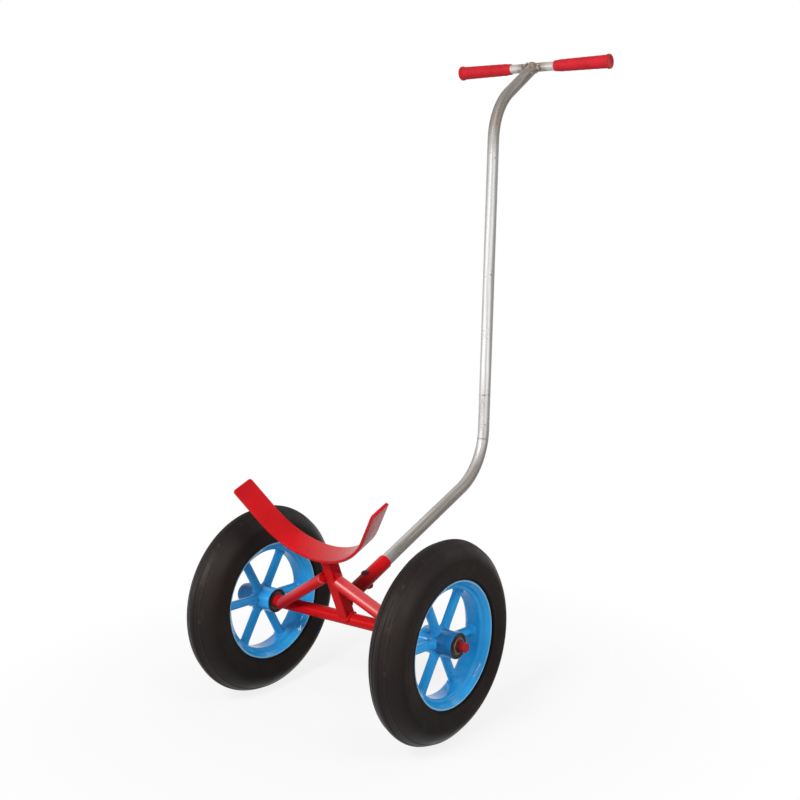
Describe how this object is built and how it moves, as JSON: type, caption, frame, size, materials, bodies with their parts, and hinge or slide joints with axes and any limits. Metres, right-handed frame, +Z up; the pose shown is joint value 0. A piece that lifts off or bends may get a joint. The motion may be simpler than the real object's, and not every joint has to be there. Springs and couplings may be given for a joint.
{
  "type": "pipe dolly",
  "caption": "Hand dolly for carrying pipe: curved steel saddle on a braced axle between spoked rubber-tyred wheels, steered by a long bent T-handle.",
  "frame": {"origin": "on the floor, under the middle of the whole dolly's box", "axes": "+X along the axle, to the right as seen from the saddle's front; +Y back towards the handle; +Z up"},
  "size_m": [0.6, 0.9304, 1.3848],
  "materials": {
    "tyre_rubber": "matte, lightly scuffed",
    "wheel_paint": "gloss sky-blue enamel",
    "frame_paint": "gloss red enamel",
    "galvanised_pipe": "dull galvanised, streaked",
    "weld_metal": "rough as-welded",
    "grip_rubber": "satin",
    "bearing_steel": "ground",
    "seal_rubber": "matte",
    "zinc_steel": "zinc plated",
    "dark_bolt_steel": "black oxide"
  },
  "bodies": {
    "frame": {"axle_bar": "frame_paint", "axle_tube": "frame_paint", "handle_bar": "galvanised_pipe", "handle_socket": "frame_paint", "handle_stem": "galvanised_pipe", "handle_weld": "weld_metal", "left_bearing_spacer": "bearing_steel", "left_grip": "grip_rubber", "left_inner_bearing_inner_ring": "bearing_steel", "left_leg": "frame_paint", "left_outer_bearing_inner_ring": "bearing_steel", "left_split_pin": "zinc_steel", "left_washer": "zinc_steel", "right_bearing_spacer": "bearing_steel", "right_grip": "grip_rubber", "right_inner_bearing_inner_ring": "bearing_steel", "right_leg": "frame_paint", "right_outer_bearing_inner_ring": "bearing_steel", "right_split_pin": "zinc_steel", "right_washer": "zinc_steel", "saddle_plate": "frame_paint", "saddle_post": "frame_paint", "socket_bolt": "dark_bolt_steel", "socket_nut": "frame_paint"},
    "left_wheel": {"left_hub": "wheel_paint", "left_hub_cap": "wheel_paint", "left_inner_bearing_outer_ring": "bearing_steel", "left_inner_bearing_seals": "seal_rubber", "left_outer_bearing_outer_ring": "bearing_steel", "left_outer_bearing_seals": "seal_rubber", "left_rim": "wheel_paint", "left_spokes": "wheel_paint", "left_tyre": "tyre_rubber"},
    "right_wheel": {"right_hub": "wheel_paint", "right_inner_bearing_outer_ring": "bearing_steel", "right_inner_bearing_seals": "seal_rubber", "right_outer_bearing_outer_ring": "bearing_steel", "right_outer_bearing_seals": "seal_rubber", "right_rim": "wheel_paint", "right_spokes": "wheel_paint", "right_tyre": "tyre_rubber"},
    "left_ball_cages": {"left_inner_bearing_balls": "bearing_steel", "left_inner_bearing_cage": "bearing_steel", "left_outer_bearing_balls": "bearing_steel", "left_outer_bearing_cage": "bearing_steel"},
    "right_ball_cages": {"right_inner_bearing_balls": "bearing_steel", "right_inner_bearing_cage": "bearing_steel", "right_outer_bearing_balls": "bearing_steel", "right_outer_bearing_cage": "bearing_steel"}
  },
  "joints": [
    {"name": "left_wheel_spin", "type": "hinge", "parent": "frame", "child": "left_wheel", "pos_m": [0, -0.26521, 0.2], "axis": [1, 0, 0], "continuous": true},
    {"name": "left_cage_spin", "type": "hinge", "parent": "frame", "child": "left_ball_cages", "pos_m": [0, -0.26521, 0.2], "axis": [1, 0, 0], "continuous": true},
    {"name": "right_wheel_spin", "type": "hinge", "parent": "frame", "child": "right_wheel", "pos_m": [0, -0.26521, 0.2], "axis": [1, 0, 0], "continuous": true},
    {"name": "right_cage_spin", "type": "hinge", "parent": "frame", "child": "right_ball_cages", "pos_m": [0, -0.26521, 0.2], "axis": [1, 0, 0], "continuous": true}
  ],
  "couplings": [
    {"joint": "left_cage_spin", "follows": "left_wheel_spin", "ratio": 0.61791},
    {"joint": "right_cage_spin", "follows": "right_wheel_spin", "ratio": 0.61791}
  ]
}
